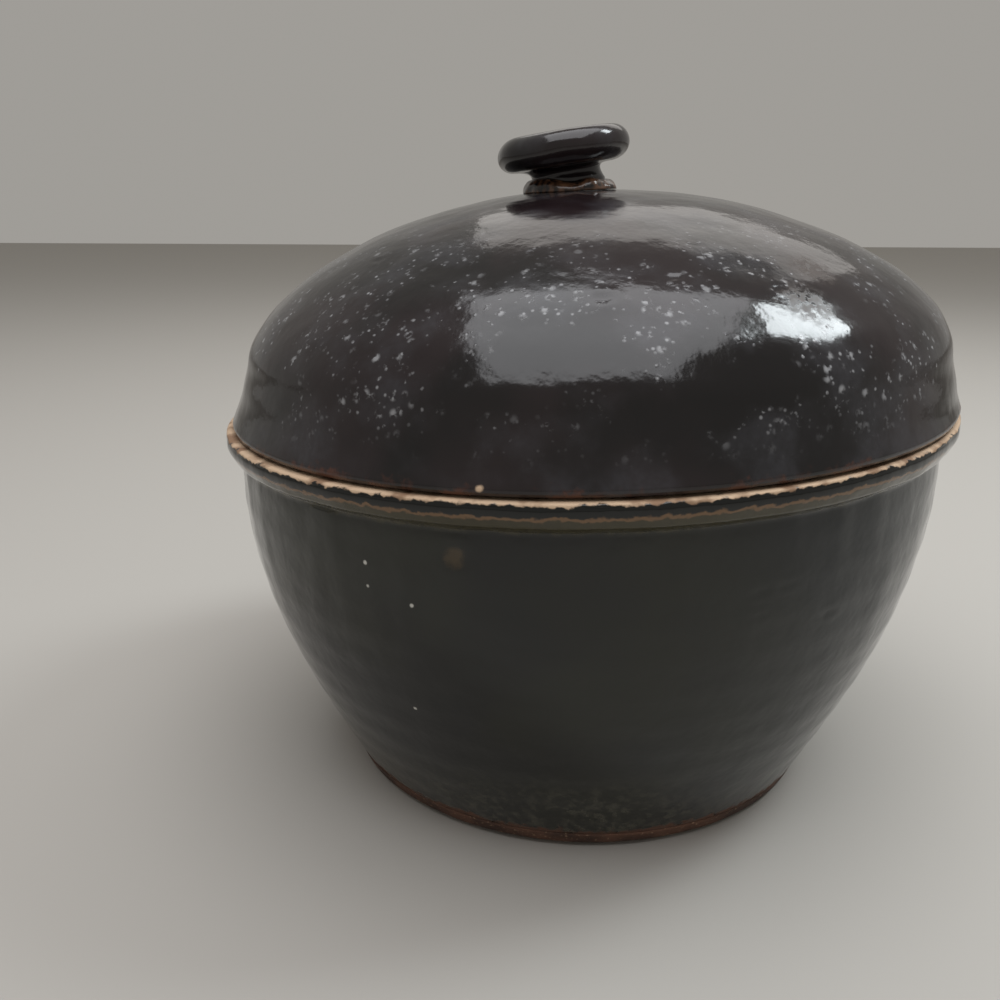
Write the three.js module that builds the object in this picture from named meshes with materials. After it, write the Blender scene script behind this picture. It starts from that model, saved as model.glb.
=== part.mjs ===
// A lidded jar: a thrown stoneware bowl with a flanged mouth, and a loose domed lid with a disc knob.
// Millimetres, +Z up. The origin is the centre of the foot, on the surface that the jar stands on.
// The front is -Y, and +X is to the right of someone who faces it.
import * as THREE from 'three';

// Fit: the clearance wherever two pieces meet
const SEAT_GAP = 0.3;

// Foot ring
const FOOT_RADIUS = 38.3;
const FOOT_WIDTH = 4.0;
const FOOT_HEIGHT = 2.8;
const FOOT_BEVEL_WIDTH = 2.4;
const FOOT_BEVEL_HEIGHT = 1.0;

// Jar: base, wall and flange
const BASE_RADIUS = 41.6;
const BASE_THICKNESS = 4.5;
const BELLY_RADIUS = 58.1;
const BELLY_HEIGHT_SHARE = 0.62;
const WALL = 4.5;
const LOWER_WALL_SPREAD = 9.4;
const LOWER_WALL_RISE = 17.9;
const FLOOR_ROUND_START = 0.25;
const FLOOR_FLAT_SHARE = 0.7;
const RIM_HEIGHT = 61.17;
const FLANGE_RADIUS = 60.0;
const FLANGE_WIDTH = 8.0;
const FLANGE_EDGE_HEIGHT = 2.0;
const FLANGE_COVE = 2.5;
const COVE_MIDDLE_IN = 0.35;
const COVE_MIDDLE_UP = 0.45;
const FLANGE_ROUNDING = 0.5;
const RIM_SLOPE_DEGREES = 2.16;

// Lid: the dome, and the ring under it that keeps it centred in the mouth
const LID_INSET = 0.8;
const LID_OFF_CENTRE = 0.4;
const LID_SKIRT_HEIGHT = 11.0;
const LID_SKIRT_FLARE = 2.6;
const LID_HEIGHT = 34.7;
const LID_WALL = 4.5;
const LID_EDGE_ROUNDING = 0.5;
const LID_CROWN_HANDLE = 33.0;
const LID_SHOULDER_RISE = 9.0;
const LID_SHOULDER_DRAW = 0.2;
const LID_SKIRT_MIDDLE = 0.45;
const LID_FULLNESS = 1.0;
const RING_CLEARANCE = 1.0;
const RING_WIDTH = 3.5;
const RING_DEPTH = 7.0;

// Knob and the collar of squeezed clay round its neck
const KNOB_RADIUS = 10.75;
const KNOB_THICKNESS = 5.7;
const KNOB_EDGE_TURN = 0.86;
const KNOB_EDGE_FULLNESS = 0.92;
const KNOB_FLAT_SHARE = 0.4;
const KNOB_NECK_RADIUS = 5.9;
const KNOB_NECK_HEIGHT = 3.1;
const KNOB_X = -2.15;
const KNOB_LEAN = -0.75;
const KNOB_SLOPE_DEGREES = 6.0;
const COLLAR_WIDTH = 1.7;
const COLLAR_HEIGHT = 1.5;
// The collar's round outer side, as shares of its width and height
const COLLAR_ROUND = [[1, 0], [0.9, 0.5], [0.5, 0.95], [0, 1]];

// Roundness: steps round the large forms, round the knob, along a long curve and along a short one
const LARGE_STEPS = 48;
const KNOB_STEPS = 32;
const LONG_CURVE_STEPS = 12;
const CURVE_STEPS = 8;

const baseZ = FOOT_HEIGHT + SEAT_GAP;
const floorZ = baseZ + BASE_THICKNESS;
const mouthRadius = FLANGE_RADIUS - FLANGE_WIDTH;
const lidRadius = FLANGE_RADIUS - LID_INSET;
const shoulderRadius = lidRadius - LID_SKIRT_FLARE;
const rimSlope = THREE.MathUtils.degToRad(RIM_SLOPE_DEGREES);

const point = (radius, z) => new THREE.Vector2(radius, z);

// Revolves a profile of (radius, z) points round the Z axis.
function revolve(profile, steps) {
  const geometry = new THREE.LatheGeometry(profile, steps);
  geometry.rotateX(Math.PI / 2);
  return geometry;
}

// Closes a profile that doesn't touch the axis.
function closed(profile) {
  return [...profile, profile[0].clone()];
}

// Moves every vertex by a function of its place, and leaves the faces as they are.
function reshape(geometry, move) {
  const places = geometry.attributes.position;
  const place = new THREE.Vector3();
  for (let index = 0; index < places.count; index += 1) {
    place.fromBufferAttribute(places, index);
    move(place);
    places.setXYZ(index, place.x, place.y, place.z);
  }
  geometry.computeVertexNormals();
  return geometry;
}

// Points on the inner side of a curve that climbs, a wall's thickness in from it, from its top down.
function innerWall(curve, thickness, from, to, steps) {
  const points = [];
  for (let step = 0; step <= steps; step += 1) {
    const share = from + (to - from) * step / steps;
    const place = curve.getPoint(share);
    const along = curve.getTangent(share);
    points.push(point(Math.max(place.x - along.y * thickness, 0), place.y + along.x * thickness));
  }
  return points;
}

// The outer wall of the jar, from the edge of the base to the underside of the flange.
const flangeUnderZ = RIM_HEIGHT - FLANGE_EDGE_HEIGHT - FLANGE_COVE;
const jarWall = new THREE.CubicBezierCurve(
  point(BASE_RADIUS, baseZ),
  point(BASE_RADIUS + LOWER_WALL_SPREAD, baseZ + LOWER_WALL_RISE),
  point(BELLY_RADIUS, baseZ + (flangeUnderZ - baseZ) * BELLY_HEIGHT_SHARE),
  point(FLANGE_RADIUS - FLANGE_COVE, flangeUnderZ),
);

// The outer face of the dome, from its shoulder to its top.
const dome = new THREE.CubicBezierCurve(
  point(shoulderRadius, LID_SKIRT_HEIGHT),
  point(shoulderRadius - LID_SHOULDER_RISE * LID_SHOULDER_DRAW, LID_SKIRT_HEIGHT + LID_SHOULDER_RISE),
  point(LID_CROWN_HANDLE, LID_HEIGHT),
  point(0, LID_HEIGHT),
);
const domeProfile = dome.getPoints(LONG_CURVE_STEPS);

// The height of the dome's outer face at a distance from the lid's axis.
function domeHeight(radius) {
  for (let index = domeProfile.length - 1; index > 0; index -= 1) {
    const inner = domeProfile[index];
    const outer = domeProfile[index - 1];
    if (radius <= outer.x) {
      return THREE.MathUtils.mapLinear(radius, inner.x, outer.x, inner.y, outer.y);
    }
  }
  return LID_SKIRT_HEIGHT;
}

// The foot is a turned ring of bare clay with a bevelled outer edge, flat where it stands.
function footRing() {
  const innerRadius = FOOT_RADIUS - FOOT_WIDTH;
  return revolve(closed([
    point(innerRadius, 0),
    point(FOOT_RADIUS, 0),
    point(FOOT_RADIUS + FOOT_BEVEL_WIDTH, FOOT_BEVEL_HEIGHT),
    point(BASE_RADIUS, FOOT_HEIGHT),
    point(innerRadius, FOOT_HEIGHT),
  ]), LARGE_STEPS);
}

// The jar's mouth is out of level: the slope grows from nothing at the base to all of it at the rim.
function jarBody() {
  const inside = innerWall(jarWall, WALL, 1, FLOOR_ROUND_START, CURVE_STEPS);
  const low = inside[inside.length - 1];
  const along = jarWall.getTangent(FLOOR_ROUND_START);
  const corner = point(low.x - along.x * (low.y - floorZ) / along.y, floorZ);
  const floorRound = new THREE.QuadraticBezierCurve(low, corner, point(corner.x * FLOOR_FLAT_SHARE, floorZ));
  const edgeZ = RIM_HEIGHT - FLANGE_EDGE_HEIGHT;
  const profile = [
    point(0, baseZ),
    ...jarWall.getPoints(LONG_CURVE_STEPS),
    point(FLANGE_RADIUS - FLANGE_COVE * COVE_MIDDLE_IN, flangeUnderZ + FLANGE_COVE * COVE_MIDDLE_UP),
    point(FLANGE_RADIUS, edgeZ),
    point(FLANGE_RADIUS, RIM_HEIGHT - FLANGE_ROUNDING),
    point(FLANGE_RADIUS - FLANGE_ROUNDING, RIM_HEIGHT),
    point(mouthRadius + FLANGE_ROUNDING, RIM_HEIGHT),
    point(mouthRadius, RIM_HEIGHT - FLANGE_ROUNDING),
    point(mouthRadius, edgeZ),
    ...inside,
    ...floorRound.getPoints(CURVE_STEPS / 2).slice(1),
    point(0, floorZ),
  ];
  return reshape(revolve(profile, LARGE_STEPS), (place) => {
    const share = THREE.MathUtils.clamp((place.z - baseZ) / (RIM_HEIGHT - baseZ), 0, 1);
    place.z += place.x * Math.tan(rimSlope) * share;
  });
}

// The dome is a little fuller towards +X than a true round.
function lidDome() {
  const ringInnerRadius = mouthRadius - RING_CLEARANCE - RING_WIDTH;
  const skirt = new THREE.QuadraticBezierCurve(
    point(lidRadius, SEAT_GAP + LID_EDGE_ROUNDING * 2),
    point(lidRadius - LID_SKIRT_FLARE / 2, LID_SKIRT_HEIGHT * LID_SKIRT_MIDDLE),
    point(shoulderRadius, LID_SKIRT_HEIGHT),
  );
  const profile = [
    point(ringInnerRadius, SEAT_GAP),
    point(lidRadius - LID_EDGE_ROUNDING, SEAT_GAP),
    ...skirt.getPoints(CURVE_STEPS / 2),
    ...domeProfile.slice(1),
    ...innerWall(dome, LID_WALL, 1, 0, CURVE_STEPS),
    point(ringInnerRadius, SEAT_GAP),
  ];
  return reshape(revolve(profile, LARGE_STEPS), (place) => {
    place.x += LID_FULLNESS * Math.sin(Math.PI * THREE.MathUtils.clamp(place.z / LID_HEIGHT, 0, 1));
  });
}

// A plain ring under the lid drops inside the mouth and keeps the lid from sliding off.
function lidLocatingRing() {
  const outerRadius = mouthRadius - RING_CLEARANCE;
  const innerRadius = outerRadius - RING_WIDTH;
  return revolve(closed([
    point(innerRadius, -RING_DEPTH),
    point(outerRadius, -RING_DEPTH),
    point(outerRadius, 0),
    point(innerRadius, 0),
  ]), LARGE_STEPS);
}

// Sets a form made on the Z axis down on the dome at the knob's place.
function setOnDome(place) {
  place.x += KNOB_X;
  place.z += domeHeight(Math.hypot(place.x, place.y)) + SEAT_GAP;
}

// Clay squeezed out round the neck when the knob was pressed on.
function knobCollar() {
  const innerRadius = KNOB_NECK_RADIUS + SEAT_GAP;
  const round = COLLAR_ROUND.map(([out, up]) => point(innerRadius + COLLAR_WIDTH * out, COLLAR_HEIGHT * up));
  const profile = closed([point(innerRadius, 0), ...round]);
  return reshape(revolve(profile, KNOB_STEPS), setOnDome);
}

// A short neck and a round disc with a pebble's edge, which sits a little to -X and rises towards +X.
function knob() {
  const half = KNOB_THICKNESS / 2;
  const middleZ = KNOB_NECK_HEIGHT + half;
  const edge = [];
  for (let step = 0; step <= CURVE_STEPS; step += 1) {
    const turn = Math.PI * (step / CURVE_STEPS - 0.5) * KNOB_EDGE_TURN;
    const inset = half * (1 - Math.cos(turn));
    edge.push(point(KNOB_RADIUS - inset, middleZ + half * KNOB_EDGE_FULLNESS * Math.sin(turn)));
  }
  const profile = [
    point(0, 0),
    point(KNOB_NECK_RADIUS, 0),
    point(KNOB_NECK_RADIUS, COLLAR_HEIGHT),
    ...edge,
    point(KNOB_RADIUS * KNOB_FLAT_SHARE, middleZ + half),
    point(0, middleZ + half),
  ];
  const slope = Math.tan(THREE.MathUtils.degToRad(KNOB_SLOPE_DEGREES));
  return reshape(revolve(profile, KNOB_STEPS), (place) => {
    const aboveCollar = (place.z - COLLAR_HEIGHT) / (KNOB_NECK_HEIGHT - COLLAR_HEIGHT);
    const share = THREE.MathUtils.clamp(aboveCollar, 0, 1);
    const low = place.clone();
    setOnDome(low);
    const seatZ = low.z - place.z;
    const discZ = LID_HEIGHT + SEAT_GAP + place.x * slope;
    place.x += KNOB_X + KNOB_LEAN * share;
    place.z += THREE.MathUtils.lerp(seatZ, discZ, share);
  });
}

// One finish for each kind of surface
const bareClay = { color: 0x8c5f46, roughness: 0.85, metalness: 0 };
const jarGlaze = { color: 0x14150f, roughness: 0.12, metalness: 0 };
const lidGlaze = { color: 0x231a1c, roughness: 0.2, metalness: 0 };
const collarGlaze = { color: 0x3a2a22, roughness: 0.3, metalness: 0 };

function piece(name, geometry, finish) {
  const mesh = new THREE.Mesh(geometry, new THREE.MeshStandardMaterial(finish));
  mesh.name = name;
  return mesh;
}

// The lid lies on the rim, so it is built on the rim's plane and leans with it.
const lid = new THREE.Group();
lid.position.set(0, 0, RIM_HEIGHT);
lid.rotation.y = -rimSlope;
const lidCentre = new THREE.Group();
lidCentre.position.x = LID_OFF_CENTRE;
lidCentre.add(piece('lid_locating_ring', lidLocatingRing(), bareClay));
lidCentre.add(piece('lid_dome', lidDome(), lidGlaze));
lidCentre.add(piece('knob_collar', knobCollar(), collarGlaze));
lidCentre.add(piece('knob', knob(), lidGlaze));
lid.add(lidCentre);

const jar = new THREE.Group();
jar.name = 'lidded_jar';
jar.add(piece('foot_ring', footRing(), bareClay));
jar.add(piece('jar_body', jarBody(), jarGlaze));
jar.add(lid);

export default jar;
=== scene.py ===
import math

import bpy
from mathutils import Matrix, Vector, noise


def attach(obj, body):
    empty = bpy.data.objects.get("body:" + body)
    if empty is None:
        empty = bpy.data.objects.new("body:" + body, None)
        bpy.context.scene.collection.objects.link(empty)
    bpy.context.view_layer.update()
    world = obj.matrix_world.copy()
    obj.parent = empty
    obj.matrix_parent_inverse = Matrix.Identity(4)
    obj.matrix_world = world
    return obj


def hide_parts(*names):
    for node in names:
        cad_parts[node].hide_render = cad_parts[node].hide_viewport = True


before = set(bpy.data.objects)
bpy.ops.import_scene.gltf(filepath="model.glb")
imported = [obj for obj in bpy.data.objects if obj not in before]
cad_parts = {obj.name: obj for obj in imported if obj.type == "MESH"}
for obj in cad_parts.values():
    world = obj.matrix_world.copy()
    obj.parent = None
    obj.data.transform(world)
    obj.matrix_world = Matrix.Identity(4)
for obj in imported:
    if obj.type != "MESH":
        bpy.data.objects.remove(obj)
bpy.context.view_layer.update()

# The jar is seen from a little above its rim, close to, with its axis right of the picture's middle.
# Sizes in this file are in millimetres, and MM turns them to metres.
MM = 0.001
CAMERA_PLACE = Vector((0, -170.9, 96.8)) * MM
CAMERA_DOWN_DEGREES = 17.59
CAMERA_LEFT_DEGREES = 4.78
CAMERA_LENS = 36
CAMERA_SENSOR = 36
CAMERA_NEAREST = 0.005

camera_data = bpy.data.cameras.new("camera")
camera_data.lens = CAMERA_LENS
camera_data.sensor_width = CAMERA_SENSOR
camera_data.clip_start = CAMERA_NEAREST
camera = bpy.data.objects.new("camera", camera_data)
camera.location = CAMERA_PLACE
camera.rotation_euler = (math.radians(90 - CAMERA_DOWN_DEGREES), 0, math.radians(CAMERA_LEFT_DEGREES))
bpy.context.scene.collection.objects.link(camera)
bpy.context.scene.camera = camera
bpy.context.scene.view_settings.view_transform = "Standard"


# The foot is a ring of the jar's own reddish stoneware, turned on the wheel when the clay was firm.
# It is left bare, because glaze would stick it to the kiln shelf, and it has a bevelled outer edge.
SEAT_GAP = 0.3
SEAT_FILL = 0.8
FOOT_RADIUS = 38.3
FOOT_WIDTH = 4.0
FOOT_HEIGHT = 2.8
FOOT_BEVEL_WIDTH = 2.4
FOOT_BEVEL_HEIGHT = 1.0
FOOT_POINT_SPACING = 0.8
FOOT_FLAT_HEIGHT = 0.1
BASE_RADIUS = 41.6
ROUND_STEPS = 288
JOINED_WITHIN = 1e-7
CLAY_DARK = (0.050, 0.025, 0.017, 1)
CLAY_RED = (0.120, 0.056, 0.034, 1)
CLAY_PALE = (0.34, 0.22, 0.14, 1)
CLAY_BLUSH_SIZE = 7
CLAY_GRIT_SIZE = 0.5
CLAY_GRIT_HEIGHT = 0.15
CLAY_ROUGHNESS = (0.70, 0.95)
# Soft dents in the clay, here and below, are given as their size and their height.
FOOT_DENTS = (9, 0.12)


def dense(points, spacing):
    """The same outline with a point at least every so many millimetres."""
    result = [points[0]]
    for start, end in zip(points, points[1:]):
        pieces = max(1, math.ceil(math.dist(start, end) / spacing))
        for number in range(1, pieces + 1):
            share = number / pieces
            result.append((start[0] + (end[0] - start[0]) * share, start[1] + (end[1] - start[1]) * share))
    return result


def turned(name, outline, move, steps=ROUND_STEPS):
    """A form turned round the Z axis from (radius, height) points; move takes each to its place."""
    on_axis = 1e-6
    loops = []
    places = []
    for radius, height in outline:
        count = 1 if radius < on_axis else steps
        loops.append((len(places), count))
        for step in range(count):
            angle = 2 * math.pi * step / steps
            place = Vector((radius * math.sin(angle), -radius * math.cos(angle), height))
            places.append(move(place, angle, radius) * MM)
    faces = []
    for (first, first_count), (second, second_count) in zip(loops, loops[1:]):
        for step in range(steps):
            after = (step + 1) % steps
            low = [first + step, first + after] if first_count > 1 else [first]
            high = [second + after, second + step] if second_count > 1 else [second]
            if len(low) + len(high) > 2:
                faces.append(low + high)
    mesh = bpy.data.meshes.new(name)
    mesh.from_pydata(places, [], faces)
    mesh.polygons.foreach_set("use_smooth", [True] * len(mesh.polygons))
    piece = bpy.data.objects.new(name, mesh)
    bpy.context.scene.collection.objects.link(piece)
    return piece


def ring_turned(name, outline, move, steps=ROUND_STEPS):
    """A turned form whose outline closes on itself; the doubled loop of points is joined."""
    piece = turned(name, outline + [outline[0]], move, steps)
    joiner = piece.modifiers.new("join", "WELD")
    joiner.merge_threshold = JOINED_WITHIN
    joined = piece.evaluated_get(bpy.context.evaluated_depsgraph_get())
    piece.data = bpy.data.meshes.new_from_object(joined)
    piece.modifiers.clear()
    return piece


def between(value, low, high):
    """The value as a share of the way from low to high, held between 0 and 1."""
    return min(max((value - low) / (high - low), 0), 1)


def outward(angle):
    """The level direction away from the axis."""
    return Vector((math.sin(angle), -math.cos(angle), 0))


def unevenness(place, size, amount):
    """Soft unevenness of hand-made clay: size is its scale and amount its height."""
    return noise.noise(place / size) * amount


def foot_place(place, angle, radius):
    """Swells the ring's sides a little and leaves the face that it stands on flat."""
    swell = unevenness(place, *FOOT_DENTS) if place.z > FOOT_FLAT_HEIGHT else 0
    return Vector((place.x * (1 + swell / radius), place.y * (1 + swell / radius), place.z))


class Finish:
    """A material's node tree, with short calls for the few kinds of node that clay and glaze need."""

    def __init__(self, name):
        self.material = bpy.data.materials.new(name)
        self.material.use_nodes = True
        self.nodes = self.material.node_tree.nodes
        self.links = self.material.node_tree.links
        self.shader = self.nodes["Principled BSDF"]
        self.coordinates = self.nodes.new("ShaderNodeTexCoord").outputs["Object"]
        split = self.nodes.new("ShaderNodeSeparateXYZ")
        self.links.new(self.coordinates, split.inputs[0])
        self.x = split.outputs["X"]
        self.z = split.outputs["Z"]

    def fill(self, socket, value):
        """Gives a socket a plain value, or the output of another node."""
        if isinstance(value, (int, float, tuple)):
            socket.default_value = value
        else:
            self.links.new(value, socket)

    def math(self, operation, first, second):
        node = self.nodes.new("ShaderNodeMath")
        node.operation = operation
        self.fill(node.inputs[0], first)
        self.fill(node.inputs[1], second)
        return node.outputs[0]

    def plus(self, first, second):
        return self.math("ADD", first, second)

    def minus(self, first, second):
        return self.math("SUBTRACT", first, second)

    def times(self, first, second):
        return self.math("MULTIPLY", first, second)

    def most(self, first, second):
        return self.math("MAXIMUM", first, second)

    def step(self, value, start, end):
        """Goes smoothly from 0 at start to 1 at end."""
        node = self.nodes.new("ShaderNodeMapRange")
        node.interpolation_type = "SMOOTHSTEP"
        self.links.new(value, node.inputs["Value"])
        node.inputs["From Min"].default_value = start
        node.inputs["From Max"].default_value = end
        return node.outputs["Result"]

    def height_step(self, level, start, end):
        """Goes from 0 at one height to 1 at another, both in millimetres."""
        return self.step(level, start * MM, end * MM)

    def cloud(self, size, detail=4, offset=0.0):
        """Cloudy variation from 0 to 1, with features of about that size."""
        shift = self.nodes.new("ShaderNodeMapping")
        shift.inputs["Location"].default_value = (offset, offset * 0.7, offset * 1.3)
        shift.inputs["Scale"].default_value = [1 / (size * MM)] * 3
        self.links.new(self.coordinates, shift.inputs["Vector"])
        node = self.nodes.new("ShaderNodeTexNoise")
        node.inputs["Scale"].default_value = 1
        node.inputs["Detail"].default_value = detail
        self.links.new(shift.outputs[0], node.inputs["Vector"])
        return node.outputs["Fac"]

    def grains(self, spacing, radius, soft):
        """Small round spots about that far apart: 1 in a spot and 0 between them."""
        node = self.nodes.new("ShaderNodeTexVoronoi")
        node.inputs["Scale"].default_value = 1 / (spacing * MM)
        self.links.new(self.coordinates, node.inputs["Vector"])
        return self.step(node.outputs["Distance"], radius, radius * soft)

    def spot(self, centre, radius, ragged, soft=0.55):
        """One ragged spot round a place on the object: 1 in its middle and 0 outside."""
        away = self.nodes.new("ShaderNodeVectorMath")
        away.operation = "DISTANCE"
        self.links.new(self.coordinates, away.inputs[0])
        away.inputs[1].default_value = Vector(centre) * MM
        reach = self.plus(away.outputs["Value"], self.times(ragged, radius * MM))
        edge = radius * 1.5
        return self.height_step(reach, edge, edge * soft)

    def spots(self, marks, ragged, soft=0.55):
        """Several ragged spots, given as (centre, radius)."""
        together = self.spot(*marks[0], ragged, soft)
        for centre, radius in marks[1:]:
            together = self.most(together, self.spot(centre, radius, ragged, soft))
        return together

    def mix(self, share, first, second):
        """Colour first where share is 0, and second where it is 1."""
        node = self.nodes.new("ShaderNodeMix")
        node.data_type = "RGBA"
        self.links.new(share, node.inputs["Factor"])
        self.fill(node.inputs[6], first)
        self.fill(node.inputs[7], second)
        return node.outputs[2]

    def blend(self, share, first, second):
        """A number that goes from first to second as share goes from 0 to 1."""
        return self.plus(first, self.times(share, second - first))

    def ragged_level(self, level, ragged, reach):
        """A height whose edges wander up and down by about half of reach."""
        return self.plus(level, self.times(self.minus(ragged, 0.5), reach * MM))

    def finish(self, colour, roughness, height, height_mm):
        """Puts the colour, roughness and surface relief on the shader."""
        bump = self.nodes.new("ShaderNodeBump")
        bump.inputs["Strength"].default_value = 1
        bump.inputs["Distance"].default_value = height_mm * MM
        self.links.new(height, bump.inputs["Height"])
        self.links.new(bump.outputs[0], self.shader.inputs["Normal"])
        self.links.new(colour, self.shader.inputs["Base Color"])
        self.links.new(roughness, self.shader.inputs["Roughness"])
        return self.material


def bare_clay():
    """Fired reddish stoneware without glaze: dry, gritty, darker where the flame touched it."""
    clay = Finish("bare_clay")
    broad = clay.cloud(CLAY_BLUSH_SIZE)
    grit = clay.cloud(CLAY_GRIT_SIZE, offset=3)
    colour = clay.mix(clay.step(broad, 0.38, 0.62), CLAY_DARK, CLAY_RED)
    colour = clay.mix(clay.step(grit, 0.60, 0.72), colour, CLAY_PALE)
    return clay.finish(colour, clay.blend(grit, *CLAY_ROUGHNESS), grit, CLAY_GRIT_HEIGHT)


clay_material = bare_clay()
foot_top = FOOT_HEIGHT + SEAT_GAP * SEAT_FILL
foot_outline = dense([
    (FOOT_RADIUS - FOOT_WIDTH, 0),
    (FOOT_RADIUS, 0),
    (FOOT_RADIUS + FOOT_BEVEL_WIDTH, FOOT_BEVEL_HEIGHT),
    (BASE_RADIUS, foot_top),
    (FOOT_RADIUS - FOOT_WIDTH, foot_top),
], FOOT_POINT_SPACING)
foot = ring_turned("foot_ring_turned", foot_outline, foot_place)
foot.data.materials.append(clay_material)
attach(foot, "jar")
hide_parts("foot_ring")


# The jar is a thrown bowl with a flange folded out round its mouth. It was dipped in a black glaze
# that ran, and the flange's top was wiped bare for the lid; the olive band in the cove under the flange is
# a painted reflection.
BASE_Z = FOOT_HEIGHT + SEAT_GAP
BASE_THICKNESS = 4.5
FLOOR_Z = BASE_Z + BASE_THICKNESS
FLOOR_FLAT_RADIUS = 24
FLOOR_POINT_SPACING = 6
FLOOR_ROUND_DRAW = 4
FLOOR_ROUND_RISE = 2.5
FLOOR_ROUND_REACH = 10
FLOOR_ROUND_STEPS = 16
WALL = 4.5
WALL_STEPS = 110
WALL_STEPS_IN_FLOOR_ROUND = 30
LOWER_WALL_SPREAD = 9.4
LOWER_WALL_RISE = 17.9
BELLY_RADIUS = 58.1
BELLY_HEIGHT_SHARE = 0.62
RIM_HEIGHT = 61.17
RIM_SLOPE = math.tan(math.radians(2.16))
FLANGE_RADIUS = 60.0
FLANGE_EDGE_HEIGHT = 2.0
FLANGE_EDGE_Z = RIM_HEIGHT - FLANGE_EDGE_HEIGHT
FLANGE_COVE = 2.5
FLANGE_UNDER_Z = FLANGE_EDGE_Z - FLANGE_COVE
FLANGE_ROUNDING = 0.7
FLANGE_POINT_SPACING = 0.45
MOUTH_RADIUS = 52.0
MOUTH_ROUNDING = 0.6
THROWING_RING_SPACING = 5.3
THROWING_RING_HEIGHT = 0.04
THROWING_RING_FIRMNESS = (30, 1)
JAR_DENTS = (22, 0.22)
JAR_RIPPLES = (5, 0.05)
FLANGE_DENTS = (6, 0.22)
FLANGE_SINK = 0.15
# Runs of thick glaze start where their cloudy variation is over RUN_THINNEST.
RUN_SPREAD = 14
RUN_LENGTH = 30
RUN_HEIGHT = 0.5
RUN_THINNEST = 0.1
RUN_LOWEST = 30
RUN_FULL_FROM = 50
# The relief keeps to the outer face, fades out towards the foot and stops under the rim's flat top.
RELIEF_FACE_DEPTH = 1
RELIEF_FADE = 6
RELIEF_LOWEST = 0.5
RELIEF_BELOW_RIM = 0.3
# A pit's reach, hollow and low lip, in shares of its radius and depth.
PIT_DEPTH = 0.3
PIT_REACH = 2.2
PIT_STEEPNESS = 2.5
PIT_LIP_PLACE = 1.25
PIT_LIP_STEEPNESS = 8
PIT_LIP_HEIGHT = 0.3
GLAZE_BLACK = (0.0028, 0.0034, 0.0032, 1)
GLAZE_OLIVE = (0.0085, 0.0095, 0.0048, 1)
PAINTED_TEAL_REFLECTION = (0.0030, 0.0065, 0.0085, 1)
GLAZE_MOTTLE = (0.050, 0.048, 0.034, 1)
COVE_PAINTED_REFLECTION = (0.055, 0.046, 0.020, 1)
RIM_CREAM = (0.60, 0.43, 0.29, 1)
RIM_BROWN = (0.27, 0.160, 0.095, 1)
THIN_TAN_AND_EDGE_HIGHLIGHT = (0.17, 0.095, 0.045, 1)
SCAR_BROWN = (0.050, 0.034, 0.016, 1)
SPECK_WHITE = (0.55, 0.54, 0.50, 1)
# Roughness goes from the first value on wet-looking glaze to the second on dry clay.
JAR_ROUGHNESS = (0.06, 0.8)
JAR_GLAZE_RELIEF = 0.12
# Each pit: degrees round from the front, height and radius.
JAR_PITS = [
    (24, 47.2, 0.9), (23.3, 43.6, 0.8), (28, 47.5, 0.9), (36.5, 41.6, 0.9), (-38, 33, 0.6),
    (112, 38, 0.9), (171, 46, 0.8), (205, 29, 0.9), (251, 42, 0.7),
]
SCAR_PLACE = (-15.5, 53.0)
SCAR_RADIUS = 1.9
# Each white speck: degrees round from the front, and height.
SPECKS = [(-29, 50.2), (-29, 46.7), (-22, 45.2), (-25, 27.0), (64, 36.0), (150, 44.0), (228, 40.0)]
SPECK_RADIUS = 0.42


def curve(first, first_handle, last_handle, last, steps):
    """Points along a smooth curve between two points, drawn out by two handles."""
    ends = (first, first_handle, last_handle, last)
    points = []
    for number in range(steps + 1):
        share = number / steps
        rest = 1 - share
        weights = (rest ** 3, 3 * rest ** 2 * share, 3 * rest * share ** 2, share ** 3)
        points.append(tuple(sum(w * end[axis] for w, end in zip(weights, ends)) for axis in (0, 1)))
    return points


def inner_side(points, thickness):
    """The inner side of a wall whose outer points climb, from its top down."""
    inner = []
    for before, place, after in zip(points[:1] + points, points, points[1:] + points[-1:]):
        along = Vector((after[0] - before[0], after[1] - before[1])).normalized()
        inner.append((max(place[0] - along.y * thickness, 0), place[1] + along.x * thickness))
    return inner[::-1]


jar_wall = curve(
    (BASE_RADIUS, BASE_Z),
    (BASE_RADIUS + LOWER_WALL_SPREAD, BASE_Z + LOWER_WALL_RISE),
    (BELLY_RADIUS, BASE_Z + (FLANGE_UNDER_Z - BASE_Z) * BELLY_HEIGHT_SHARE),
    (FLANGE_RADIUS - FLANGE_COVE, FLANGE_UNDER_Z),
    WALL_STEPS,
)
jar_inside = inner_side(jar_wall, WALL)
inside_low = jar_inside[-WALL_STEPS_IN_FLOOR_ROUND]
floor_round = curve(
    inside_low,
    (inside_low[0] - FLOOR_ROUND_DRAW, FLOOR_Z + FLOOR_ROUND_RISE),
    (inside_low[0] - FLOOR_ROUND_REACH, FLOOR_Z),
    (FLOOR_FLAT_RADIUS, FLOOR_Z),
    FLOOR_ROUND_STEPS,
)


def wall_radius(height):
    """The jar's outer radius at a height."""
    return min(jar_wall, key=lambda place: abs(place[1] - height))[0]


def on_jar(degrees, height):
    """A place on the jar's outer face."""
    angle = math.radians(degrees)
    radius = wall_radius(height)
    rise = (height - BASE_Z) / (RIM_HEIGHT - BASE_Z) * RIM_SLOPE
    x = radius * math.sin(angle)
    return Vector((x, -radius * math.cos(angle), height + x * rise))


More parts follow.
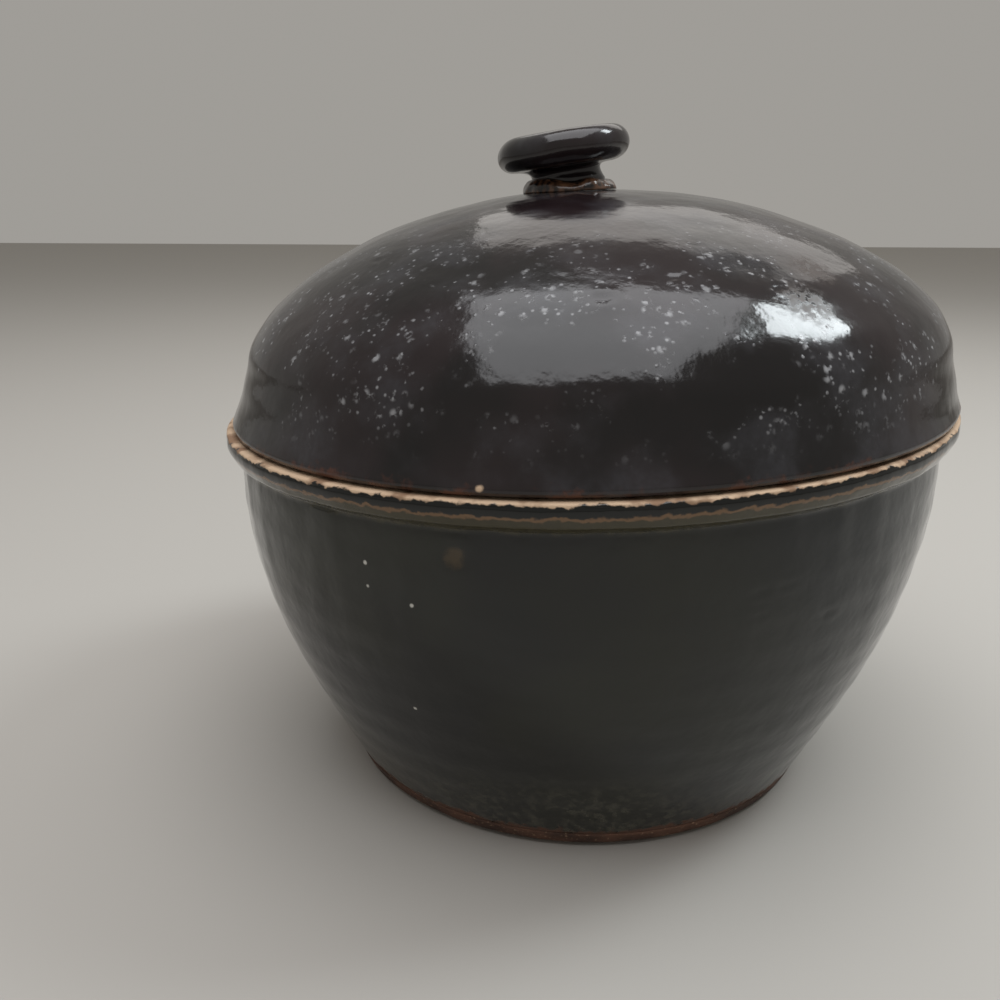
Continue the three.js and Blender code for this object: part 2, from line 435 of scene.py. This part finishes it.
def pit_depth(place, pits, depth):
    """How far small open bubbles sink the glaze at a place, with a low raised lip round each."""
    sunk = 0
    for centre, radius in pits:
        away = (place - centre).length / radius
        if away < PIT_REACH:
            hollow = math.exp(-PIT_STEEPNESS * away ** 2)
            lip = PIT_LIP_HEIGHT * math.exp(-PIT_LIP_STEEPNESS * (away - PIT_LIP_PLACE) ** 2)
            sunk += depth * (lip - hollow)
    return sunk


jar_pits = [(on_jar(degrees, height), radius) for degrees, height, radius in JAR_PITS]
jar_pits.append((on_jar(*SCAR_PLACE), SCAR_RADIUS))


def jar_place(place, angle, radius):
    """Leans the mouth over, and gives the outer wall its throwing rings, glaze runs, dents and pits."""
    share = between(place.z, BASE_Z, RIM_HEIGHT)
    moved = Vector((place.x, place.y, place.z + place.x * RIM_SLOPE * share))
    outside = radius > wall_radius(place.z) - RELIEF_FACE_DEPTH and place.z > BASE_Z + RELIEF_LOWEST
    if not outside or place.z > RIM_HEIGHT - RELIEF_BELOW_RIM:
        return moved
    if place.z > FLANGE_UNDER_Z:
        relief = unevenness(moved, *FLANGE_DENTS) - FLANGE_SINK
    else:
        turns = place.z / THROWING_RING_SPACING + angle / (2 * math.pi)
        firmness = 0.5 + abs(unevenness(moved, *THROWING_RING_FIRMNESS))
        relief = math.sin(turns * 2 * math.pi) * THROWING_RING_HEIGHT * firmness
        relief += unevenness(moved, *JAR_DENTS) + unevenness(moved, *JAR_RIPPLES)
        side = Vector((math.sin(angle), math.cos(angle), 0)) * RUN_SPREAD
        run = max(noise.noise(side + Vector((0, 0, place.z / RUN_LENGTH))) - RUN_THINNEST, 0)
        relief += run * RUN_HEIGHT * between(place.z, RUN_LOWEST, RUN_FULL_FROM)
        relief += pit_depth(moved, jar_pits, PIT_DEPTH)
    fade = min((place.z - BASE_Z) / RELIEF_FADE, 1)
    return moved + outward(angle) * relief * fade


def jar_glaze():
    """Black iron glaze: olive where thin, broken tan on the flange's edge, with a painted teal reflection
    on its right side, a painted reflection in the cove, and a thin tan line under the edge that is partly a
    painted highlight.
    """
    glaze = Finish("jar_glaze")
    ragged = glaze.cloud(1.6, offset=1)
    broad = glaze.cloud(26, detail=2, offset=5)
    mottled = glaze.cloud(1.3, detail=6, offset=9)
    level = glaze.minus(glaze.z, glaze.times(glaze.x, RIM_SLOPE))
    level = glaze.ragged_level(level, ragged, 1.6)

    colour = glaze.mix(glaze.step(broad, 0.35, 0.65), GLAZE_OLIVE, GLAZE_BLACK)
    # Painted teal reflection on the jar's right side, not a colour of the glaze.
    colour = glaze.mix(glaze.height_step(glaze.x, 10, 50), colour, PAINTED_TEAL_REFLECTION)
    thin_low = glaze.height_step(glaze.plus(glaze.z, glaze.times(broad, 22 * MM)), 30, 12)
    patches = glaze.times(thin_low, glaze.step(mottled, 0.44, 0.66))
    colour = glaze.mix(patches, colour, GLAZE_MOTTLE)

    # Painted reflection: a lighter olive band in the cove under the flange.
    cove_reflection_share = glaze.height_step(level, FLANGE_UNDER_Z - 0.4, FLANGE_UNDER_Z + 0.5)
    colour = glaze.mix(glaze.times(cove_reflection_share, glaze.blend(mottled, 0.55, 1.0)), colour, COVE_PAINTED_REFLECTION)
    # A thin tan line on the flange's lower edge: glaze breaking thin there, and partly a painted highlight
    # on that edge.
    tan_and_highlight_line = glaze.height_step(level, FLANGE_EDGE_Z - 0.35, FLANGE_EDGE_Z - 0.05)
    colour = glaze.mix(tan_and_highlight_line, colour, THIN_TAN_AND_EDGE_HIGHLIGHT)
    dark_band = glaze.height_step(level, FLANGE_EDGE_Z + 0.1, FLANGE_EDGE_Z + 0.4)
    colour = glaze.mix(dark_band, colour, GLAZE_BLACK)
    wiped = glaze.height_step(level, RIM_HEIGHT - 0.45, RIM_HEIGHT - 0.20)
    wiped_colour = glaze.mix(glaze.step(glaze.cloud(4.5, offset=31), 0.36, 0.56), RIM_BROWN, RIM_CREAM)
    colour = glaze.mix(wiped, colour, wiped_colour)
    near_foot = glaze.height_step(glaze.plus(glaze.z, glaze.times(ragged, 4 * MM)), 6.4, 5.2)
    colour = glaze.mix(near_foot, colour, CLAY_RED)

    scar = glaze.spot(on_jar(*SCAR_PLACE), SCAR_RADIUS, mottled)
    colour = glaze.mix(scar, colour, SCAR_BROWN)
    specks = glaze.spots([(on_jar(*place), SPECK_RADIUS) for place in SPECKS], ragged)
    colour = glaze.mix(specks, colour, SPECK_WHITE)

    dry = glaze.most(glaze.most(wiped, near_foot), glaze.times(patches, 0.2))
    height = glaze.plus(glaze.cloud(3.5, detail=2, offset=2), glaze.times(mottled, 0.12))
    return glaze.finish(colour, glaze.blend(dry, *JAR_ROUGHNESS), height, JAR_GLAZE_RELIEF)


flange_outline = dense([
    (FLANGE_RADIUS - FLANGE_COVE, FLANGE_UNDER_Z),
    (FLANGE_RADIUS - FLANGE_COVE * 0.35, FLANGE_UNDER_Z + FLANGE_COVE * 0.45),
    (FLANGE_RADIUS - 0.15, FLANGE_EDGE_Z),
    (FLANGE_RADIUS, FLANGE_EDGE_Z + 0.5),
    (FLANGE_RADIUS, RIM_HEIGHT - FLANGE_ROUNDING),
    (FLANGE_RADIUS - 0.25, RIM_HEIGHT - 0.2),
    (FLANGE_RADIUS - FLANGE_ROUNDING, RIM_HEIGHT),
    (MOUTH_RADIUS + MOUTH_ROUNDING, RIM_HEIGHT),
    (MOUTH_RADIUS, RIM_HEIGHT - MOUTH_ROUNDING),
    (MOUTH_RADIUS, FLANGE_EDGE_Z),
    jar_inside[0],
], FLANGE_POINT_SPACING)
jar_outline = dense([(0, BASE_Z), (BASE_RADIUS, BASE_Z)], FLOOR_POINT_SPACING) + jar_wall[1:]
jar_outline += flange_outline[1:] + jar_inside[1:-WALL_STEPS_IN_FLOOR_ROUND] + floor_round
jar_outline += dense([(FLOOR_FLAT_RADIUS, FLOOR_Z), (0, FLOOR_Z)], FLOOR_POINT_SPACING)[1:]
jar = turned("jar_thrown", jar_outline, jar_place)
jar.data.materials.append(jar_glaze())
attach(jar, "jar")
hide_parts("jar_body")


# A plain clay ring luted under the lid drops inside the mouth, so that the lid can't slide off.
# It is unglazed, like the seat beside it, and shows only when the lid is lifted.
LID_OFF_CENTRE = 0.4
RING_CLEARANCE = 1.0
RING_WIDTH = 3.5
RING_DEPTH = 7.0
RING_ROUNDING = 0.6
RING_STEPS = 192
RING_POINT_SPACING = 1.2
RING_DENTS = (7, 0.12)
RING_SINK = 0.06
RING_OUTER = MOUTH_RADIUS - RING_CLEARANCE
RING_INNER = RING_OUTER - RING_WIDTH
RIM_ANGLE = math.atan(RIM_SLOPE)


def lid_to_jar(place):
    """Takes a place on the lid, measured from the rim's plane, to the jar's own frame."""
    x = place.x + LID_OFF_CENTRE
    across = x * math.cos(RIM_ANGLE) - place.z * math.sin(RIM_ANGLE)
    up = x * math.sin(RIM_ANGLE) + place.z * math.cos(RIM_ANGLE)
    return Vector((across, place.y, RIM_HEIGHT + up))


def ring_place(place, angle, radius):
    """Gives the ring the soft unevenness of thrown clay."""
    return lid_to_jar(place + outward(angle) * (unevenness(place, *RING_DENTS) - RING_SINK))


ring_outline = dense([
    (RING_INNER + RING_ROUNDING, -RING_DEPTH),
    (RING_OUTER - RING_ROUNDING, -RING_DEPTH),
    (RING_OUTER - 0.15, -RING_DEPTH + 0.35),
    (RING_OUTER, -RING_DEPTH + 1),
    (RING_OUTER, SEAT_GAP * SEAT_FILL),
    (RING_INNER, SEAT_GAP * SEAT_FILL),
    (RING_INNER, -RING_DEPTH + RING_ROUNDING),
], RING_POINT_SPACING)
lid_ring = ring_turned("lid_ring_luted", ring_outline, ring_place, RING_STEPS)
lid_ring.data.materials.append(clay_material)
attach(lid_ring, "lid_ring")
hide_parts("lid_locating_ring")


# The lid is a thrown dome, a little fuller on its right, with a skirt that flares to its edge.
# Its brown-black glaze carries clusters of pale specks, dry patches and rust where it is thin; the rust
# along its lower edge is partly a painted reflection of the bare rim.
LID_RADIUS = 59.2
LID_SKIRT_HEIGHT = 11.0
LID_SHOULDER_RADIUS = 56.6
LID_SHOULDER_DRAW = 1.8
LID_SHOULDER_RISE = 9
LID_CROWN_HANDLE = 33
LID_HEIGHT = 34.7
LID_WALL = 4.5
LID_FULLNESS = 1.0
LID_EDGE_HEIGHT = 1.0
LID_EDGE_ROUNDING = 0.7
SKIRT_LOW = 3.6
SKIRT_LOW_DRAW = 0.9
SKIRT_HIGH = 7.4
SKIRT_HIGH_DRAW = 1.9
SKIRT_STEPS = 24
SKIRT_POINT_SPACING = 0.8
LID_INSIDE_POINT_SPACING = 1.5
LID_RING_SPACING = 5.2
LID_RING_HEIGHT = 0.05
LID_PIT_DEPTH = 0.32
LID_DENTS = (18, 0.25)
LID_RIPPLES = (4, 0.06)
LID_SINK = 0.08
LID_RELIEF_RISE = 0.9
LID_RELIEF_LOWEST = 0.4
LID_EDGE_FADE = 3
MIDDLE_FADE = 6
SKIRT_FACE_DEPTH = 0.5
CROWN_FACE_DEPTH = 1.5
LID_BLACK = (0.0048, 0.0038, 0.0042, 1)
LID_PLUM = (0.0150, 0.0095, 0.0105, 1)
LID_BLOOM = (0.046, 0.045, 0.052, 1)
LID_SPECK = (0.26, 0.26, 0.27, 1)
LID_RUST_AND_RIM_REFLECTION = (0.072, 0.024, 0.013, 1)
LID_PATCH = (0.034, 0.019, 0.013, 1)
LID_ROUGHNESS = (0.12, 0.75)
LID_GLAZE_RELIEF = 0.08
# Each pit or patch: degrees round from the front, distance from the lid's axis and radius.
LID_PITS = [
    (14, 44, 0.9), (30, 47, 0.9), (2, 47, 1.3), (-48, 40, 0.8), (130, 44, 0.9), (200, 38, 0.8),
    (262, 46, 0.9),
]
DRY_PATCHES = [(34, 50, 5.0), (42, 45, 4.2), (188, 47, 4.6)]
CHIP_DEGREES = -12
CHIP_HEIGHT = 1.4
CHIP_RADIUS = 0.7

dome_curve = curve(
    (LID_SHOULDER_RADIUS, LID_SKIRT_HEIGHT),
    (LID_SHOULDER_RADIUS - LID_SHOULDER_DRAW, LID_SKIRT_HEIGHT + LID_SHOULDER_RISE),
    (LID_CROWN_HANDLE, LID_HEIGHT),
    (0, LID_HEIGHT),
    WALL_STEPS,
)


def dome_height(radius):
    """The height of the dome's outer face at a distance from the lid's axis."""
    return min(dome_curve, key=lambda place: abs(place[0] - radius))[1]


def on_lid(degrees, radius):
    """A place on the dome in the lid's own frame."""
    place = outward(math.radians(degrees)) * radius
    place.z = dome_height(radius)
    return place


lid_pits = [(on_lid(degrees, radius), size) for degrees, radius, size in LID_PITS]


def dome_place(place, angle, radius):
    """Fills the dome out to its right, and gives its outer face uneven glaze and pits."""
    share = between(place.z, 0, LID_HEIGHT)
    moved = Vector((place.x + LID_FULLNESS * math.sin(math.pi * share), place.y, place.z))
    away = (outward(angle) * radius + Vector((0, 0, place.z * LID_RELIEF_RISE))).normalized()
    if place.z < LID_SKIRT_HEIGHT:
        outside = place.z > LID_RELIEF_LOWEST and radius > LID_SHOULDER_RADIUS - SKIRT_FACE_DEPTH
    else:
        outside = place.z > dome_height(radius) - CROWN_FACE_DEPTH
    if outside:
        relief = unevenness(place, *LID_DENTS) + unevenness(place, *LID_RIPPLES) - LID_SINK
        relief += math.sin(place.z * 2 * math.pi / LID_RING_SPACING + angle) * LID_RING_HEIGHT
        relief += pit_depth(place, lid_pits, LID_PIT_DEPTH)
        fade = min(place.z / LID_EDGE_FADE, 1) * min(radius / MIDDLE_FADE, 1)
        moved += away * relief * fade
    return lid_to_jar(moved)


def lid_glaze():
    """Brown-black glaze: plum where thinner, with a grey bloom, specks in clusters and a rusty edge that is
    partly a painted reflection of the bare rim.
    """
    glaze = Finish("lid_glaze")
    ragged = glaze.cloud(1.4, offset=4)
    broad = glaze.cloud(20, detail=3, offset=6)
    clusters = glaze.cloud(9, detail=3, offset=12)
    fine = glaze.cloud(0.9, detail=6, offset=15)
    level = glaze.minus(glaze.z, glaze.times(glaze.x, RIM_SLOPE))

    colour = glaze.mix(glaze.step(broad, 0.36, 0.64), LID_BLACK, LID_PLUM)
    bloom = glaze.times(glaze.step(clusters, 0.42, 0.70), glaze.blend(fine, 0.1, 0.7))
    colour = glaze.mix(bloom, colour, LID_BLOOM)
    middle = glaze.times(glaze.height_step(level, 64, 72), glaze.height_step(level, 94, 84))
    crowd = glaze.times(glaze.step(clusters, 0.43, 0.56), middle)
    specks = glaze.most(glaze.grains(2.3, 0.36, 0.3), glaze.grains(1.1, 0.32, 0.3))
    specks = glaze.times(glaze.times(specks, crowd), glaze.step(fine, 0.45, 0.6))
    colour = glaze.mix(specks, colour, LID_SPECK)

    patches = [(lid_to_jar(on_lid(degrees, radius)), size) for degrees, radius, size in DRY_PATCHES]
    patch = glaze.times(glaze.spots(patches, ragged, 0.4), glaze.step(fine, 0.35, 0.55))
    colour = glaze.mix(patch, colour, LID_PATCH)
    edge_level = glaze.ragged_level(level, ragged, 4)
    # The band along the lid's lower edge: rust where the glaze is thin, and partly a painted reflection of
    # the bare rim just below it.
    rust_and_rim_reflection = glaze.height_step(edge_level, RIM_HEIGHT + 1.9, RIM_HEIGHT + 0.7)
    rust_and_rim_reflection = glaze.times(rust_and_rim_reflection, glaze.step(glaze.cloud(5, offset=33), 0.42, 0.60))
    colour = glaze.mix(rust_and_rim_reflection, colour, LID_RUST_AND_RIM_REFLECTION)
    chip_place = outward(math.radians(CHIP_DEGREES)) * LID_RADIUS
    chip_place.z = CHIP_HEIGHT
    chip = glaze.spot(lid_to_jar(chip_place), CHIP_RADIUS, ragged)
    colour = glaze.mix(chip, colour, RIM_CREAM)

    dry = glaze.most(glaze.times(patch, 0.55), glaze.times(bloom, 0.25))
    dry = glaze.most(dry, glaze.times(rust_and_rim_reflection, 0.35))
    height = glaze.plus(glaze.cloud(3, detail=3, offset=8), glaze.times(specks, 0.25))
    return glaze.finish(colour, glaze.blend(dry, *LID_ROUGHNESS), height, LID_GLAZE_RELIEF)


lid_material = lid_glaze()
skirt_curve = curve(
    (LID_RADIUS, SEAT_GAP + LID_EDGE_HEIGHT),
    (LID_RADIUS - SKIRT_LOW_DRAW, SKIRT_LOW),
    (LID_RADIUS - SKIRT_HIGH_DRAW, SKIRT_HIGH),
    (LID_SHOULDER_RADIUS, LID_SKIRT_HEIGHT),
    SKIRT_STEPS,
)
dome_outline = dense([
    (RING_INNER, SEAT_GAP),
    (LID_RADIUS - LID_EDGE_ROUNDING, SEAT_GAP),
    (LID_RADIUS - 0.2, SEAT_GAP + 0.3),
    skirt_curve[0],
], SKIRT_POINT_SPACING)
dome_outline += skirt_curve[1:] + dome_curve[1:] + inner_side(dome_curve, LID_WALL)
dome_outline += dense([dome_outline[-1], (RING_INNER, SEAT_GAP)], LID_INSIDE_POINT_SPACING)[1:-1]
lid = ring_turned("lid_dome_thrown", dome_outline, dome_place)
lid.data.materials.append(lid_material)
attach(lid, "lid")
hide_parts("lid_dome")


# The knob is a small disc on a short neck, pressed from a ball of clay and set on the crown with slip.
# It sits a little to the left and leans, so that the disc rises to the right.
KNOB_RADIUS = 10.75
KNOB_THICKNESS = 5.7
KNOB_TOP_STEPS = 16
KNOB_EDGE_STEPS = 32
KNOB_EDGE_TURN = 0.9
KNOB_EDGE_FULLNESS = 0.93
KNOB_NECK_RADIUS = 5.9
KNOB_NECK_HEIGHT = 3.1
KNOB_NECK_WAIST = 0.6
KNOB_NECK_STEPS = 12
KNOB_POINT_SPACING = 1.0
KNOB_DENTS = (6, 0.35)
KNOB_SINK = 0.12
KNOB_WARP = (8, 0.25)
KNOB_X = -2.15
KNOB_LEAN = -0.75
KNOB_SLOPE = math.tan(math.radians(6.0))
KNOB_STEPS = 128
COLLAR_HEIGHT = 1.5


def knob_place(place, angle, radius):
    """Sets the knob on the dome, leans it, and makes its edge uneven as a pressed ball's is."""
    share = between(place.z, COLLAR_HEIGHT, KNOB_NECK_HEIGHT)
    seat = dome_height(math.hypot(place.x + KNOB_X, place.y))
    disc = LID_HEIGHT + place.x * KNOB_SLOPE
    relief = (unevenness(place, *KNOB_DENTS) - KNOB_SINK) * share * min(radius / MIDDLE_FADE, 1)
    moved = place + outward(angle) * relief
    moved.x += KNOB_X + KNOB_LEAN * share
    moved.z += SEAT_GAP + seat + (disc - seat) * share + unevenness(place, *KNOB_WARP) * share
    return lid_to_jar(moved)


knob_half = KNOB_THICKNESS / 2
knob_middle = KNOB_NECK_HEIGHT + knob_half
knob_top = knob_middle + knob_half
knob_edge = []
for number in range(KNOB_EDGE_STEPS + 1):
    turn = math.pi * (number / KNOB_EDGE_STEPS - 0.5) * KNOB_EDGE_TURN
    inset = knob_half * (1 - math.cos(turn))
    knob_edge.append((KNOB_RADIUS - inset, knob_middle + knob_half * KNOB_EDGE_FULLNESS * math.sin(turn)))
neck_curve = curve(
    (KNOB_NECK_RADIUS, COLLAR_HEIGHT),
    (KNOB_NECK_RADIUS - KNOB_NECK_WAIST, KNOB_NECK_HEIGHT),
    (KNOB_NECK_RADIUS + KNOB_NECK_WAIST, KNOB_NECK_HEIGHT + 0.1),
    knob_edge[0],
    KNOB_NECK_STEPS,
)
top_curve = curve(
    knob_edge[-1],
    (KNOB_RADIUS * 0.6, knob_top),
    (KNOB_RADIUS * 0.3, knob_top),
    (0, knob_top),
    KNOB_TOP_STEPS,
)
knob_outline = dense([(0, 0), (KNOB_NECK_RADIUS, 0), (KNOB_NECK_RADIUS, COLLAR_HEIGHT)], KNOB_POINT_SPACING)
knob_outline += neck_curve[1:] + knob_edge[1:] + top_curve[1:]
knob = turned("knob_pressed", knob_outline, knob_place, KNOB_STEPS)
knob.data.materials.append(lid_material)
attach(knob, "lid")
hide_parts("knob")


# Slip squeezed out round the neck when the knob was pressed on, and was smoothed with one finger.
# The glaze is thin on this ridge, so it shows a lighter brown.
COLLAR_WIDTH = 1.7
COLLAR_CLEARANCE = 0.05
COLLAR_INNER = KNOB_NECK_RADIUS + COLLAR_CLEARANCE
COLLAR_ROUND_STEPS = 12
COLLAR_LUMPS = (3, 0.7)
# The ridge's height varies by this share of itself, over this distance.
COLLAR_WAVE_SIZE = 4
COLLAR_WAVE_SHARE = 0.35
COLLAR_BROWN = (0.110, 0.052, 0.028, 1)
COLLAR_STREAK_SIZE = 1.2
COLLAR_ROUGHNESS = (0.10, 0.28)
COLLAR_GLAZE_RELIEF = 0.1


def collar_place(place, angle, radius):
    """Lays the ridge on the dome and makes its outer side lumpy."""
    share = between(radius - SEAT_GAP, KNOB_NECK_RADIUS, KNOB_NECK_RADIUS + COLLAR_WIDTH)
    moved = place + outward(angle) * (unevenness(place, *COLLAR_LUMPS) * share)
    moved.x += KNOB_X
    moved.z = place.z * (1 + unevenness(place, COLLAR_WAVE_SIZE, COLLAR_WAVE_SHARE))
    moved.z += SEAT_GAP * (1 - share)
    moved.z += dome_height(math.hypot(moved.x, moved.y))
    return lid_to_jar(moved)


def collar_glaze():
    """The lid's glaze where it is thin over a ridge: brown, glossy and a little streaked."""
    glaze = Finish("collar_glaze")
    streaks = glaze.cloud(COLLAR_STREAK_SIZE, offset=21)
    colour = glaze.mix(glaze.step(streaks, 0.35, 0.65), LID_BLACK, COLLAR_BROWN)
    return glaze.finish(colour, glaze.blend(streaks, *COLLAR_ROUGHNESS), streaks, COLLAR_GLAZE_RELIEF)


collar_outline = [(COLLAR_INNER, 0), (COLLAR_INNER + COLLAR_WIDTH, 0)]
for number in range(1, COLLAR_ROUND_STEPS + 1):
    turn = math.pi / 2 * number / COLLAR_ROUND_STEPS
    collar_outline.append((COLLAR_INNER + COLLAR_WIDTH * math.cos(turn), COLLAR_HEIGHT * math.sin(turn)))
collar = ring_turned("knob_collar_slip", collar_outline, collar_place, KNOB_STEPS)
collar.data.materials.append(collar_glaze())
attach(collar, "lid")
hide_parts("knob_collar")


# The floor is a plain pale sheet, and the light is that of two soft windows and a pale room.
FLOOR_COLOUR = (0.44, 0.42, 0.39, 1)
FLOOR_ROUGHNESS = 0.9
FLOOR_HALF = 1.5
ROOM_COLOUR = (0.76, 0.73, 0.68, 1)
ROOM_LEVEL = 0.46
LAMP_AIM = Vector((0, 0, 60)) * MM
LAMP_DISTANCE = 0.62
# Each lamp: degrees round from the front to the right, degrees up, width, height, power and colour.
LAMPS = [
    ("window_front", -4, 80, 0.62, 0.72, 3.8, (0.96, 0.97, 1.0)),
    ("window_right", 104, 50, 0.16, 0.22, 1.6, (0.90, 0.97, 1.0)),
    ("room_back", 170, 38, 0.50, 0.24, 0.35, (1.0, 0.96, 0.92)),
]

floor_mesh = bpy.data.meshes.new("floor")
floor_corners = [(x * FLOOR_HALF, y * FLOOR_HALF, 0) for x, y in ((-1, -1), (1, -1), (1, 1), (-1, 1))]
floor_mesh.from_pydata(floor_corners, [], [(0, 1, 2, 3)])
floor = bpy.data.objects.new("floor", floor_mesh)
bpy.context.scene.collection.objects.link(floor)
floor_finish = bpy.data.materials.new("floor")
floor_finish.use_nodes = True
floor_shader = floor_finish.node_tree.nodes["Principled BSDF"]
floor_shader.inputs["Base Color"].default_value = FLOOR_COLOUR
floor_shader.inputs["Roughness"].default_value = FLOOR_ROUGHNESS
floor_mesh.materials.append(floor_finish)

for name, around, up, width, height, power, colour in LAMPS:
    lamp_data = bpy.data.lights.new(name, "AREA")
    lamp_data.shape = "RECTANGLE"
    lamp_data.size = width
    lamp_data.size_y = height
    lamp_data.energy = power
    lamp_data.color = colour
    lamp = bpy.data.objects.new(name, lamp_data)
    rise = math.radians(up)
    direction = outward(math.radians(around)) * math.cos(rise) + Vector((0, 0, math.sin(rise)))
    lamp.location = LAMP_AIM + direction * LAMP_DISTANCE
    lamp.rotation_euler = (-direction).to_track_quat("-Z", "Y").to_euler()
    bpy.context.scene.collection.objects.link(lamp)

world = bpy.data.worlds.new("room")
world.use_nodes = True
room_light = world.node_tree.nodes["Background"]
room_light.inputs["Color"].default_value = ROOM_COLOUR
room_light.inputs["Strength"].default_value = ROOM_LEVEL
bpy.context.scene.world = world
